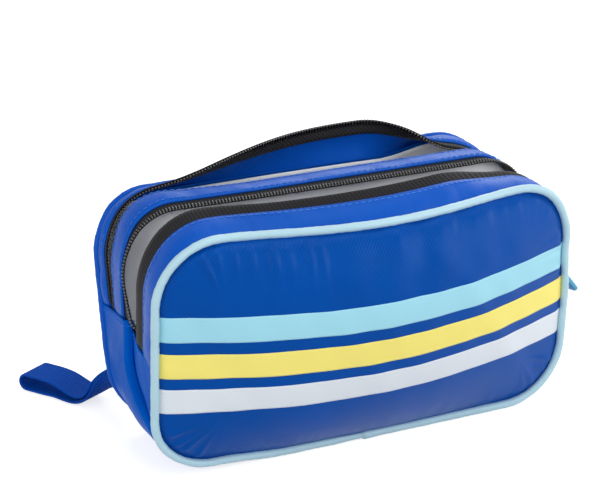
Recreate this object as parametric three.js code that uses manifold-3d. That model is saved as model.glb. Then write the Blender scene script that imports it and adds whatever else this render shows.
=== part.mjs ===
// Soft two-compartment zip case for a home blood-test kit, standing with both zips open.
// Millimetres, +Z up. The origin is on the ground under the middle of the base, the front faces -Y.
import * as THREE from "three";
import Module from "manifold-3d";

// Outline of the front and rear panels, measured on the centre line of the piping
const caseWidth = 210;
const panelHeight = 111;
const cornerRadius = 29;

// Widths of the bands that make up the depth, from front to rear
const frontStrip = 13;
const midStrip = 10;
const rearStrip = 14;
const zipBand = 11;

// Materials of the walls
const fabric = 0.8;
const foam = 3;
const lining = 0.5;
const film = 0.25;
const seamGap = 0.3;

// Piping and ground
const pipingRadius = 2.4;
const rearPipingRadius = 1.8;
const floorGap = 0.3;
const pipingSides = 8;

// Zips: how far above the gores both ends are sewn into the base, the tape and the coil
const zipEndRise = 3;
const zipFootGap = 2.4;
const tapeWidth = 2.8;
const tapeThickness = 0.6;
const coilWidth = 1.2;
const coilAbove = 0.4;
const coilBelow = 1;

// How the filled case swells: the crown of the middle bands, the sides, and the flatness of a panel's dome
const crown = 4.5;
const sideProud = -0.5;
const seamRise = 0.6;
const domeFlatness = 2.6;

// Each cover: how far its panel stands out in the middle and along its top edge, how steeply its zip lip
// stands up at the corners and in the middle, and how far it leans in the photographed pose and when closed
const frontForm = {
  side: -1,
  strip: frontStrip,
  cord: pipingRadius,
  belly: 26,
  bow: 11,
  lipCorner: 8,
  lipMiddle: 42,
  lean: 4,
  closedLean: -4.5,
};
const rearForm = {
  side: 1,
  strip: rearStrip,
  cord: rearPipingRadius,
  belly: 12,
  bow: 4,
  lipCorner: 14,
  lipMiddle: 70,
  lean: 11,
  closedLean: 9.5,
};

// The divider and the bands on it lean back
const midLean = 8;

// Printed stripes, heights above the bottom piping
const stripeHeight = 11.8;
const whiteFoot = 33.1;
const yellowFoot = 50.2;
const blueFoot = 67.7;

// Side gores: a sector that fans out of the base as a cover opens
const goreFoot = 32;
const goreReach = 55;
const frontGoreAngle = 38;
const rearGoreAngle = 25;
const goreClearance = 0.4;
const creaseFoot = 29;
const creaseSlope = 0.56;

// Inner edge of the base lining and foam, behind each panel
const basePadInset = 6;
const dividerGap = 0.8;

// Zip sliders and pullers
const sliderRise = 1.1;
const sliderLength = 11;
const sliderWidth = 8.4;
const sliderPlate = 1;
const sliderBridge = 1.2;
const sliderClearance = 0.3;
const earHeight = 3.4;
const earThickness = 0.8;
const earLength = 3.2;
const barRadius = 0.7;
const barHeight = 2.2;
const eyeClearance = 0.35;
const linkWall = 0.65;
const linkWidth = 2.2;
const linkThickness = 1.4;
const linkLength = 8;
const tagLength = 26;
const tagTopWidth = 5.4;
const tagFootWidth = 9.6;
const tagThickness = 3;
const tagCorner = 1.5;
const tagSocket = 3;
const pullerAngle = 36;

// Hand strap: one webbing folded in two, caught in the rear left seam and lying on the ground
const webbingWidth = 18;
const webbingThickness = 1.5;
const strapRootHeight = 18;
const strapRootInset = 13;
const strapRootGap = 1.7;
const strapRootRun = 4.5;
const strapTwist = 90;
const strapTwistEnd = 0.5;
const strapLegGap = 0.4;
const strapTeardrop = 4.6;
const teardropStart = 0.45;
const teardropEnd = 0.9;
const strapSteps = 14;
const strapFoldSteps = 6;

// The strap's route on the ground: past the left edge, and behind the rear end of the bands
const strapKnee = { past: -11, behind: 27.5, height: 13 };
const strapLanding = { past: -5, behind: 40.5 };
const strapRest = { past: 3, behind: 55 };
const strapTip = { past: 11, behind: 68.5 };

// Fineness of the meshes
const columns = 14;
const cornerSteps = 5;
const sideSteps = 2;
const topSteps = 10;
const panelMiddleRows = 3;
const stripBands = 3;
const linkCurveSteps = 6;
const tagCurveSteps = 3;

// Sizes that follow from the ones above
const halfWidth = caseWidth / 2;
const radians = THREE.MathUtils.degToRad;
const flare = (form) => form.side * Math.tan(radians(form.closedLean));
const bandsDepth = frontStrip + midStrip + rearStrip + 2 * zipBand;
const zipEnd = goreReach + zipEndRise;
const baseDepth = bandsDepth - zipEnd * (flare(rearForm) - flare(frontForm));
const hingeHeight = pipingRadius + floorGap;
const pipingInset = pipingRadius + seamGap;
const foamDepth = fabric + seamGap;
const liningDepth = foamDepth + foam + seamGap;
const stripFoot = zipEnd + zipFootGap;
const sliderFoot = stripFoot + sliderRise;
const zipLevelFront = -baseDepth / 2 + zipEnd * flare(frontForm);
const midFootY = zipLevelFront + frontStrip + zipBand + midStrip / 2 - zipEnd * Math.tan(radians(midLean));
const zipOffset = (midStrip + zipBand) / 2;
const coilStart = tapeWidth + 2 * seamGap;

const vector = (x, y, z) => new THREE.Vector3(x, y, z);
const span = (from, to, steps) =>
  Array.from({ length: steps + 1 }, (_, i) => from + ((to - from) * i) / steps);

const finish = (color, roughness, metalness = 0) =>
  new THREE.MeshStandardMaterial({ color, roughness, metalness });
const blueNylon = finish(0x1458b4, 0.5);
const blueStrip = finish(0x0a5fd0, 0.5);
const paleCord = finish(0x9fd0e2, 0.45);
const skyPrint = finish(0xa0d9e8, 0.4);
const yellowPrint = finish(0xf3e57d, 0.4);
const whitePrint = finish(0xe6eaee, 0.4);
const blackTape = finish(0x1c1a1a, 0.8);
const blackCoil = finish(0x141414, 0.35);
const silverLining = finish(0xb9bdc2, 0.4, 0.3);
const greyFoam = finish(0xd8d8d4, 0.9);
const blackMetal = finish(0x202022, 0.35, 0.8);
const paleRubber = finish(0x54a6c4, 0.5);
const blueWebbing = finish(0x0a4baa, 0.8);

const wasm = await Module();
wasm.setup();

const object = new THREE.Group();
object.name = "kit_case";

function add(parent, name, geometry, material) {
  const mesh = new THREE.Mesh(geometry, material);
  mesh.name = name;
  parent.add(mesh);
  return mesh;
}

// A closed body through a row of rings of equal, even point counts. Without closed, both ends are capped.
function loft(rings, closed = false) {
  const count = rings[0].length;
  const faces = [];
  const quad = (a, b, c, d) => faces.push(a, b, c, a, c, d);
  const gaps = closed ? rings.length : rings.length - 1;
  for (let i = 0; i < gaps; i++) {
    const here = i * count;
    const next = ((i + 1) % rings.length) * count;
    for (let k = 0; k < count; k++) {
      const turn = (k + 1) % count;
      if (k < count / 2) quad(here + k, here + turn, next + turn, next + k);
      else quad(here + turn, next + turn, next + k, here + k);
    }
  }
  if (!closed) {
    const end = (rings.length - 1) * count;
    for (let k = 0; k < count / 2 - 1; k++) {
      quad(k, count - 1 - k, count - 2 - k, k + 1);
      quad(end + k, end + k + 1, end + count - 2 - k, end + count - 1 - k);
    }
  }
  const points = rings.flat();
  let volume = 0;
  for (let f = 0; f < faces.length; f += 3) {
    const [a, b, c] = [points[faces[f]], points[faces[f + 1]], points[faces[f + 2]]];
    volume += a.dot(b.clone().cross(c));
  }
  if (volume < 0) faces.reverse();
  const geometry = new THREE.BufferGeometry();
  const places = points.flatMap((p) => [p.x, p.y, p.z]);
  geometry.setAttribute("position", new THREE.Float32BufferAttribute(places, 3));
  geometry.setIndex(faces);
  return geometry;
}

// The ring round a strip of cloth, from its outer points and the inner points behind them
const ring = (outer, inner) => [...outer, ...inner.toReversed()];

// Joins or cuts closed geometries
function solidOf(geometry) {
  const bare = new THREE.BufferGeometry();
  bare.setAttribute("position", geometry.getAttribute("position"));
  if (geometry.index) bare.setIndex(geometry.index);
  const soup = bare.index ? bare.toNonIndexed() : bare;
  const place = soup.getAttribute("position");
  const mesh = new wasm.Mesh({
    numProp: 3,
    vertProperties: new Float32Array(place.array),
    triVerts: new Uint32Array(Array.from({ length: place.count }, (_, i) => i)),
  });
  mesh.merge();
  return new wasm.Manifold(mesh);
}

function geometryOf(solid) {
  const mesh = solid.getMesh();
  const geometry = new THREE.BufferGeometry();
  geometry.setAttribute("position", new THREE.BufferAttribute(mesh.vertProperties, 3));
  geometry.setIndex(new THREE.BufferAttribute(mesh.triVerts, 1));
  return geometry;
}

// Stations along the piping line: a place in the X-Z plane above the bottom piping, and the way out
function line(x0, z0, x1, z1, steps) {
  const length = Math.hypot(x1 - x0, z1 - z0);
  return span(0, 1, steps).map((t) => ({
    x: x0 + (x1 - x0) * t,
    z: z0 + (z1 - z0) * t,
    nx: -(z1 - z0) / length,
    nz: (x1 - x0) / length,
  }));
}

function corner(x, z, from, to) {
  return span(radians(from), radians(to), cornerSteps).map((a) => ({
    x: x + cornerRadius * Math.cos(a),
    z: z + cornerRadius * Math.sin(a),
    nx: Math.cos(a),
    nz: Math.sin(a),
  }));
}

const straight = halfWidth - cornerRadius;
const highCentre = panelHeight - cornerRadius;
const bends = {
  topLeft: corner(-straight, highCentre, 180, 90),
  topRight: corner(straight, highCentre, 90, 0),
  footRight: corner(straight, cornerRadius, 0, -90),
  footLeft: corner(-straight, cornerRadius, -90, -180),
};
const topRun = line(-straight, panelHeight, straight, panelHeight, topSteps).slice(1, -1);
const footRun = line(straight, 0, -straight, 0, topSteps).slice(1, -1);

// Over the top, from the left zip end to the right one
const hoop = [
  ...line(-halfWidth, stripFoot, -halfWidth, highCentre, sideSteps).slice(0, -1),
  ...bends.topLeft,
  ...topRun,
  ...bends.topRight,
  ...line(halfWidth, highCentre, halfWidth, stripFoot, sideSteps).slice(1),
];

// Under the base, from the right zip end to the left one
const cradle = [
  ...line(halfWidth, zipEnd, halfWidth, cornerRadius, sideSteps).slice(0, -1),
  ...bends.footRight,
  ...footRun,
  ...bends.footLeft,
  ...line(-halfWidth, cornerRadius, -halfWidth, zipEnd, sideSteps).slice(1),
];

// All the way round
const loop = [
  ...bends.topLeft,
  ...topRun,
  ...bends.topRight,
  ...line(halfWidth, highCentre, halfWidth, cornerRadius, sideSteps + 1).slice(1, -1),
  ...bends.footRight,
  ...footRun,
  ...bends.footLeft,
  ...line(-halfWidth, cornerRadius, -halfWidth, highCentre, sideSteps + 1).slice(1, -1),
];

// Half the width of the piping line at a height on it
function halfAt(z) {
  const past = Math.max(cornerRadius - z, z - highCentre, 0);
  return straight + Math.sqrt(Math.max(0, cornerRadius ** 2 - past ** 2));
}

// How far the panel of a cover stands out at a place on it
function swell(form, x, z) {
  const across = Math.max(0, 1 - (x / halfAt(z)) ** 2);
  const up = THREE.MathUtils.clamp(z / panelHeight, 0, 1);
  const dome = 1 - Math.abs(2 * up - 1) ** domeFlatness;
  return across * (form.bow * up + (form.belly - form.bow / 2) * dome);
}

// A point of a cover, in the frame of its hinge: depth counts inwards from the outer face of the panel
const coverPoint = (form, x, z, depth) => vector(x, form.side * (swell(form, x, z) - depth), z);

// Rows of a panel inside the piping: height and half width of each
function panelRows() {
  const round = cornerRadius - pipingInset;
  const bend = span(0, Math.PI / 2, cornerSteps).map((a) => ({
    rise: round * (1 - Math.cos(a)),
    half: straight + round * Math.sin(a),
  }));
  const low = bend.map((b) => ({ z: pipingInset + b.rise, half: b.half }));
  const high = bend.map((b) => ({ z: panelHeight - pipingInset - b.rise, half: b.half })).toReversed();
  const middle = span(cornerRadius, highCentre, panelMiddleRows + 1).slice(1, -1);
  return [...low, ...middle.map((z) => ({ z, half: halfWidth - pipingInset })), ...high];
}

function panelLayer(form, rows, from, to) {
  const rings = rows.map((row) => {
    const places = span(-row.half, row.half, columns);
    return ring(
      places.map((x) => coverPoint(form, x, row.z, from)),
      places.map((x) => coverPoint(form, x, row.z, to)),
    );
  });
  return loft(rings);
}

function stripe(form, foot) {
  const half = halfWidth - pipingInset;
  const rows = span(foot, foot + stripeHeight, 2).map((z) => ({ z, half }));
  return panelLayer(form, rows, -seamGap - film, -seamGap);
}

function piping(form) {
  const rings = loop.map((s) => {
    const centre = coverPoint(form, s.x, s.z, 0);
    return span(0, 2 * Math.PI, pipingSides)
      .slice(0, -1)
      .map((a) => {
        const out = form.cord * Math.cos(a);
        return centre.clone().add(vector(out * s.nx, form.cord * Math.sin(a), out * s.nz));
      });
  });
  return loft(rings, true);
}

// How far the wall stands off the piping line: on the sides, and over the top or under the base
const proud = (s, height) => sideProud * s.nx ** 2 + height * s.nz ** 2;

// A band of a cover along the hoop, between two distances from the panel, measured on the cloth
function coverBand(form, from, to, above, below, steps) {
  const rings = hoop.map((s) => {
    const middle = Math.max(0, 1 - (s.x / straight) ** 2);
    const lip = radians(form.lipCorner + (form.lipMiddle - form.lipCorner) * middle) * s.nz ** 2;
    const ease = (distance) => Math.min(1, (distance - pipingInset) / (form.strip - pipingInset));
    const at = (distance, lift) => {
      const past = distance - pipingInset;
      const rise = proud(s, seamRise) * ease(distance) + past * Math.sin(lip) + lift * Math.cos(lip);
      const back = pipingInset + past * Math.cos(lip) - lift * Math.sin(lip);
      const y = form.side * (swell(form, s.x, s.z) - back);
      return vector(s.x + rise * s.nx, y, s.z + rise * s.nz);
    };
    const distances = span(from, to, steps);
    return ring(
      distances.map((d) => at(d, above)),
      distances.map((d) => at(d, -below)),
    );
  });
  return loft(rings);
}

// A band on the divider, in the frame of its leaning group
function middleBand(from, to, above, below) {
  const rings = hoop.map((s) => {
    const at = (y, lift) => {
      const rise = proud(s, crown) + lift;
      return vector(s.x + rise * s.nx, y, s.z + rise * s.nz);
    };
    return ring([at(from, above), at(to, above)], [at(from, -below), at(to, -below)]);
  });
  return loft(rings);
}

// A flat outline in the X-Z plane, as thick as asked, from y towards +Y
function slab(parent, name, outline, y, thickness, material) {
  const shape = new THREE.Shape(outline);
  const geometry = new THREE.ExtrudeGeometry(shape, { depth: thickness, bevelEnabled: false });
  const mesh = add(parent, name, geometry, material);
  mesh.rotation.x = Math.PI / 2;
  mesh.position.y = y + thickness;
}

// A side gore in the Y-Z plane: away from the hinge by angle and reach, on the left or the right wall
function gore(parent, name, form, angle, wall) {
  const shape = new THREE.Shape();
  const frontTop = Math.sqrt(goreReach ** 2 - pipingInset ** 2);
  const start = Math.atan2(frontTop, pipingInset);
  const end = Math.PI / 2 - radians(angle);
  shape.moveTo(pipingInset, goreFoot);
  shape.lineTo(pipingInset, frontTop);
  span(start, end, cornerSteps)
    .slice(1)
    .forEach((a) => shape.lineTo(goreReach * Math.cos(a), goreReach * Math.sin(a)));
  shape.lineTo(goreFoot / Math.tan(end), goreFoot);
  const geometry = new THREE.ExtrudeGeometry(shape, { depth: fabric, bevelEnabled: false });
  geometry.translate(0, 0, -fabric / 2);
  const inward = vector(0, -form.side, 0);
  const across = vector(-form.side, 0, 0);
  const turned = new THREE.Matrix4().makeBasis(inward, vector(0, 0, 1), across);
  geometry.applyMatrix4(turned);
  const mesh = add(parent, name, geometry, blueNylon);
  mesh.position.x = wall * (halfWidth + sideProud - fabric * 1.5 - goreClearance);
}

// A cover group turns about the bottom run of its piping
function coverGroup(form) {
  const group = new THREE.Group();
  group.position.set(0, (form.side * baseDepth) / 2, hingeHeight);
  group.rotation.x = -form.side * radians(form.lean);
  object.add(group);
  return group;
}

function cover(form, prefix, goreAngle, cordFinish) {
  const group = coverGroup(form);
  const rows = panelRows();
  const tapeFrom = form.strip + seamGap;
  const coilFrom = form.strip + coilStart;
  add(group, prefix + "_panel", panelLayer(form, rows, 0, fabric), blueNylon);
  add(group, prefix + "_foam", panelLayer(form, rows, foamDepth, foamDepth + foam), greyFoam);
  add(group, prefix + "_lining", panelLayer(form, rows, liningDepth, liningDepth + lining), silverLining);
  add(group, prefix + "_piping", piping(form), cordFinish);
  add(group, prefix + "_gusset", coverBand(form, pipingInset, form.strip, 0, fabric, stripBands), blueStrip);
  const tape = coverBand(form, tapeFrom, tapeFrom + tapeWidth, 0, tapeThickness, 1);
  add(group, prefix + "_zip_tape_outer", tape, blackTape);
  const coil = coverBand(form, coilFrom, coilFrom + coilWidth, coilAbove, coilBelow, 1);
  add(group, prefix + "_zip_coil_outer", coil, blackCoil);
  gore(group, prefix + "_gore_left", form, goreAngle, -1);
  gore(group, prefix + "_gore_right", form, goreAngle, 1);
  return group;
}

// The base wall follows both closed covers, and its front edge slants back above the crease, where the
// front gore tucks in
const behindFront = (z, inset) => -baseDepth / 2 + inset + z * flare(frontForm);
const beforeRear = (z, inset) => baseDepth / 2 - inset + z * flare(rearForm);
const baseFront = (z) => behindFront(z, pipingInset) + Math.max(0, z - creaseFoot) * creaseSlope;

function baseLayer(depth, thickness, front, rear) {
  const rings = cradle.map((s) => {
    const at = (y, inward) => {
      const out = proud(s, hingeHeight) - inward;
      return vector(s.x + out * s.nx, y, hingeHeight + s.z + out * s.nz);
    };
    const places = span(front(s.z), rear(s.z), 2);
    return ring(
      places.map((y) => at(y, depth)),
      places.map((y) => at(y, depth + thickness)),
    );
  });
  return loft(rings);
}

function base() {
  const pads = [(z) => behindFront(z, basePadInset), (z) => beforeRear(z, basePadInset)];
  add(object, "base_gusset", baseLayer(0, fabric, baseFront, (z) => beforeRear(z, pipingInset)), blueNylon);
  add(object, "base_lining", baseLayer(liningDepth, lining, ...pads), silverLining);
  const pad = new THREE.BoxGeometry(2 * straight, baseDepth - 2 * basePadInset, foam);
  add(object, "base_foam", pad, greyFoam).position.z = foamDepth + foam / 2;
}

// The divider, the band along its top and the inner halves of both zips
function divider(group) {
  add(group, "mid_gusset", middleBand(-midStrip / 2, midStrip / 2, 0, fabric), blueStrip);
  for (const [prefix, way] of [["front", -1], ["rear", 1]]) {
    const from = (distance) => way * (midStrip / 2 + distance);
    const tape = middleBand(from(seamGap), from(seamGap + tapeWidth), 0, tapeThickness);
    add(group, prefix + "_zip_tape_inner", tape, blackTape);
    const coil = middleBand(from(coilStart), from(coilStart + coilWidth), coilAbove, coilBelow);
    add(group, prefix + "_zip_coil_inner", coil, blackCoil);
  }
  const inside = (s, out) => new THREE.Vector2(s.x + out * s.nx, s.z + out * s.nz);
  const shoulder = (s) => ({ ...s, z: stripFoot });
  const sunken = [shoulder(cradle[0]), ...cradle, shoulder(cradle.at(-1))];
  const outline = [
    ...hoop.map((s) => inside(s, proud(s, crown) - fabric - seamGap)),
    ...sunken.map((s) => inside(s, proud(s, hingeHeight) - liningDepth - lining - dividerGap)),
  ];
  const front = -foam / 2;
  slab(group, "divider_foam", outline, front, foam, greyFoam);
  slab(group, "divider_front_lining", outline, front - seamGap - lining, lining, silverLining);
  slab(group, "divider_rear_lining", outline, front + foam + seamGap, lining, silverLining);
}

function middleGroup() {
  const group = new THREE.Group();
  group.position.set(0, midFootY, hingeHeight);
  group.rotation.x = -radians(midLean);
  object.add(group);
  return group;
}

// A slider astride a zip on the right side: X counts out from the tape's outer face, Z up from its foot
function sliderSolid() {
  const outerFace = coilAbove + sliderClearance;
  const innerFace = -coilBelow - sliderClearance;
  const wide = sliderWidth / 2;
  const web = sliderBridge / 2;
  const section = new THREE.Shape();
  section.moveTo(innerFace - sliderPlate, -wide);
  section.lineTo(innerFace, -wide);
  section.lineTo(innerFace, -web);
  section.lineTo(outerFace, -web);
  section.lineTo(outerFace, -wide);
  section.lineTo(outerFace + sliderPlate, -wide);
  section.lineTo(outerFace + sliderPlate, wide);
  section.lineTo(outerFace, wide);
  section.lineTo(outerFace, web);
  section.lineTo(innerFace, web);
  section.lineTo(innerFace, wide);
  section.lineTo(innerFace - sliderPlate, wide);
  let solid = solidOf(new THREE.ExtrudeGeometry(section, { depth: sliderLength, bevelEnabled: false }));
  const earY = linkWidth / 2 + sliderClearance + earThickness / 2;
  const sunk = sliderPlate / 2;
  for (const way of [-1, 1]) {
    const ear = new THREE.BoxGeometry(earHeight + sunk, earThickness, earLength);
    ear.translate(outerFace + sliderPlate + (earHeight - sunk) / 2, way * earY, sliderLength / 2);
    solid = solid.add(solidOf(ear));
  }
  const bar = new THREE.CylinderGeometry(barRadius, barRadius, 2 * earY, 10);
  bar.translate(outerFace + sliderPlate + barHeight, 0, sliderLength / 2);
  return geometryOf(solid.add(solidOf(bar)));
}

// The link turns on the slider's bar and hangs along -Z
function linkSolid() {
  const hole = barRadius + eyeClearance;
  const eye = hole + linkWall;
  const half = linkThickness / 2;
  const cut = Math.asin(half / eye);
  const shape = new THREE.Shape();
  shape.moveTo(half, -linkLength);
  shape.absarc(0, 0, eye, cut - Math.PI / 2, 1.5 * Math.PI - cut, false);
  shape.lineTo(-half, -linkLength);
  shape.holes.push(new THREE.Path().absarc(0, 0, hole, 0, 2 * Math.PI, true));
  const settings = { depth: linkWidth, bevelEnabled: false, curveSegments: linkCurveSteps };
  const geometry = new THREE.ExtrudeGeometry(shape, settings);
  geometry.translate(0, 0, -linkWidth / 2);
  geometry.rotateX(Math.PI / 2);
  return geometry;
}

// The moulded tag flares towards its foot and takes the end of the link in a socket
function tagSolid() {
  const top = tagSocket - linkLength;
  const foot = top - tagLength;
  const high = tagTopWidth / 2;
  const low = tagFootWidth / 2;
  const shape = new THREE.Shape();
  shape.moveTo(-high, top);
  shape.lineTo(-low, foot + tagCorner);
  shape.quadraticCurveTo(-low, foot, -low + tagCorner, foot);
  shape.lineTo(low - tagCorner, foot);
  shape.quadraticCurveTo(low, foot, low, foot + tagCorner);
  shape.lineTo(high, top);
  const settings = { depth: tagThickness, bevelEnabled: false, curveSegments: tagCurveSteps };
  const body = new THREE.ExtrudeGeometry(shape, settings);
  body.translate(0, 0, -tagThickness / 2);
  const upright = new THREE.Matrix4().makeBasis(vector(0, 1, 0), vector(0, 0, 1), vector(1, 0, 0));
  body.applyMatrix4(upright);
  const depth = tagSocket + seamGap;
  const socket = new THREE.BoxGeometry(linkThickness + 2 * seamGap, linkWidth + 2 * seamGap, 2 * depth);
  socket.translate(0, 0, top);
  return geometryOf(solidOf(body).subtract(solidOf(socket)));
}

function zipPull(group, prefix, y) {
  const slider = new THREE.Group();
  slider.position.set(halfWidth + sideProud, y, sliderFoot);
  group.add(slider);
  add(slider, prefix + "_zip_slider", sliderSolid(), blackMetal);
  const puller = new THREE.Group();
  puller.position.set(coilAbove + sliderClearance + sliderPlate + barHeight, 0, sliderLength / 2);
  puller.rotation.y = -radians(pullerAngle);
  slider.add(puller);
  add(puller, prefix + "_pull_link", linkSolid(), blackMetal);
  add(puller, prefix + "_pull_tag", tagSolid(), paleRubber);
}

// The strap's spine: out of the seam behind the left edge, down to the ground and along it to the fold
function handStrap() {
  const leaning = (v) => v.applyAxisAngle(vector(1, 0, 0), -radians(rearForm.lean));
  const root = leaning(coverPoint(rearForm, -halfWidth + strapRootInset, strapRootHeight, -strapRootGap));
  root.add(vector(0, baseDepth / 2, hingeHeight));
  const lying = floorGap + webbingThickness + strapLegGap / 2;
  const along = (spot, height) => vector(-halfWidth - spot.past, bandsDepth / 2 + spot.behind, height);
  const spine = new THREE.CatmullRomCurve3([
    root,
    root.clone().add(leaning(vector(0, strapRootRun, 0))),
    along(strapKnee, strapKnee.height),
    along(strapLanding, lying + strapTeardrop / 4),
    along(strapRest, lying + strapTeardrop / 2),
    along(strapTip, lying + strapTeardrop / 2),
  ]);
  const closed = webbingThickness + strapLegGap;
  const legGap = (t) => closed + strapTeardrop * THREE.MathUtils.smoothstep(t, teardropStart, teardropEnd);
  const frame = (t) => {
    const ahead = spine.getTangentAt(t);
    const flat = ahead.clone().cross(vector(0, 0, 1)).normalize();
    const twist = (1 - THREE.MathUtils.smoothstep(t, 0, strapTwistEnd)) * radians(strapTwist);
    const normal = flat.clone().cross(ahead).normalize();
    const wide = flat.multiplyScalar(Math.cos(twist)).addScaledVector(normal, -Math.sin(twist));
    return { centre: spine.getPointAt(t), ahead, wide, up: wide.clone().cross(ahead).normalize() };
  };
  const section = (f, lift, run, thick) => {
    const centre = f.centre.clone().addScaledVector(f.up, lift).addScaledVector(f.ahead, run);
    const edge = (w, n) => centre.clone().addScaledVector(f.wide, (w * webbingWidth) / 2).add(n);
    const half = thick.clone().multiplyScalar(webbingThickness / 2);
    const back = half.clone().negate();
    return [edge(-1, half), edge(1, half), edge(1, back), edge(-1, back)];
  };
  const stations = span(0, 1, strapSteps);
  const lower = stations.map((t) => {
    const f = frame(t);
    return section(f, -legGap(t) / 2, 0, f.up.clone().negate());
  });
  const tip = frame(1);
  const radius = legGap(1) / 2;
  const fold = span(0, Math.PI, strapFoldSteps)
    .slice(1, -1)
    .map((a) => {
      const thick = tip.up.clone().multiplyScalar(-Math.cos(a)).addScaledVector(tip.ahead, Math.sin(a));
      return section(tip, -radius * Math.cos(a), radius * Math.sin(a), thick);
    });
  const upper = stations.toReversed().map((t) => {
    const f = frame(t);
    return section(f, legGap(t) / 2, 0, f.up);
  });
  add(object, "hand_strap", loft([...lower, ...fold, ...upper]), blueWebbing);
}

const frontCover = cover(frontForm, "front", frontGoreAngle, paleCord);
add(frontCover, "stripe_white", stripe(frontForm, whiteFoot), whitePrint);
add(frontCover, "stripe_yellow", stripe(frontForm, yellowFoot), yellowPrint);
add(frontCover, "stripe_light_blue", stripe(frontForm, blueFoot), skyPrint);
cover(rearForm, "rear", rearGoreAngle, blueStrip);
base();
const middle = middleGroup();
divider(middle);
zipPull(middle, "front", -zipOffset);
zipPull(middle, "rear", zipOffset);
handStrap();

export default object;
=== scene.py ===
"""Looks of the soft two-compartment zip case: cloth walls, piping, zips, stitching, webbing and studio."""
import math

import bpy
import numpy as np
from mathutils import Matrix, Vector


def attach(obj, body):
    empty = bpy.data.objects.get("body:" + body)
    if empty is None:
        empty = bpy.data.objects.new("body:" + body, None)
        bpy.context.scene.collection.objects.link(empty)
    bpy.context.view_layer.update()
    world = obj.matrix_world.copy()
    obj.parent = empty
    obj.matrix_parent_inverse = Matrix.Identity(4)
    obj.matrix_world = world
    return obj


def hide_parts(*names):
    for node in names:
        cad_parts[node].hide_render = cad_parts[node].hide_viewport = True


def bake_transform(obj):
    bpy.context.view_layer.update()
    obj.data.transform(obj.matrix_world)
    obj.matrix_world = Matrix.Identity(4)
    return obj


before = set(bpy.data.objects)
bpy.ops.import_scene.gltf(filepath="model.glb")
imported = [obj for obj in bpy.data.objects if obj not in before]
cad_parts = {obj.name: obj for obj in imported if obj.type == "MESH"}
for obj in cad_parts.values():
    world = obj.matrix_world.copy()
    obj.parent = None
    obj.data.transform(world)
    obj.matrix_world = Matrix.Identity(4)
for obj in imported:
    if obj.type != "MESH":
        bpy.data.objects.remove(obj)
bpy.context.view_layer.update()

MM = 0.001

# Outline and layers, in millimetres
CASE_WIDTH = 210.0
PANEL_HEIGHT = 111.0
CORNER_RADIUS = 29.0
HALF = CASE_WIDTH / 2
STRAIGHT = HALF - CORNER_RADIUS
HIGH_CENTRE = PANEL_HEIGHT - CORNER_RADIUS
HINGE_HEIGHT = 2.7
GROUND_GAP = 0.5
BASE_DEPTH = 53.8588
PIPING_INSET = 2.7
PIPING_JOINT = -1.0
JOINT_HALF = 0.2
FABRIC = 0.8
FOAM_END = 4.1
LINING_DEPTH = 4.4
LINING = 0.5
DOME = 2.6

# Stripes
STRIPE_HEIGHT = 11.8
STRIPE_FEET = {"white": 33.1, "yellow": 50.2, "light_blue": 67.7}
STRIPE_TILT = 0.008
STRIPE_INSET = 1.6

# Zips, the strips beside them and the divider
ZIP_END = 58.0
WALL_TOP = 63.2
STRIP_FOOT = 47.0
TUCK_RUN = 6.0
MID_STRIP = 10.0
MID_FOOT = -1.516
MID_LEAN = 8.0
LEFT_SHIFT = 10.0
DIVIDER_STEP = 60.4
CROWN = 4.5
SIDE_PROUD = -0.5
SEAM_RISE = 0.6
TAPE_SHOWN = 5.0
TAPE_TUCK = np.array([[-0.95, -0.9, -0.75, -0.3, -0.1, 0.0]])
TAPE_THICK = 0.6
COIL_UNDER = (-1.9, -0.62)
COIL_OVER = (-0.5, 0.75)
COIL_PITCH = 1.55
TOOTH_HALF = 0.52

# Threads
THREAD_RADIUS = 0.24
LIP_PITCH = 3.2
LIP_STITCH = 2.3
SEAM_PITCH = 3.0
SEAM_STITCH = 2.2

# Each cover and its zip lip, as the filled case pushes them: the lip stands up most at its peak
FRONT = {
    "side": -1, "lean": 4.0, "belly": 26.0, "bow": 11.0, "cord": 1.9,
    "strip": 13.4, "lap": 1.5, "more_tape": 3.0, "meet": 5.0, "spare": 6.0,
    "foot_left": 53.0, "foot_right": 53.0, "foot_slope": 0.2, "foot_depth": 3.6,
    "lip_end": 2.0, "lip_peak": 43.0, "peak": 30.0, "fall_left": 110.0, "fall_right": 30.0,
}
REAR = {
    "side": 1, "lean": 11.0, "belly": 12.0, "bow": 4.0, "cord": 1.8,
    "strip": 15.0, "lap": -7.6, "more_tape": -2.0, "meet": 0.0, "spare": 0.0,
    "foot_left": 63.0, "foot_right": 58.0, "foot_slope": 0.1, "foot_depth": 2.2,
    "lip_end": -10.0, "lip_peak": 80.0, "peak": 34.0, "fall_left": 90.0, "fall_right": 26.0,
}
MIDDLE = {"foot_left": 64.5, "foot_right": 59.5, "foot_slope": 0.0, "foot_depth": 4.0}


def step(value, start, end):
    """A smooth step from 0 to 1."""
    t = np.clip((np.asarray(value, float) - start) / (np.asarray(end, float) - start), 0, 1)
    return t * t * (3 - 2 * t)


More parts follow.
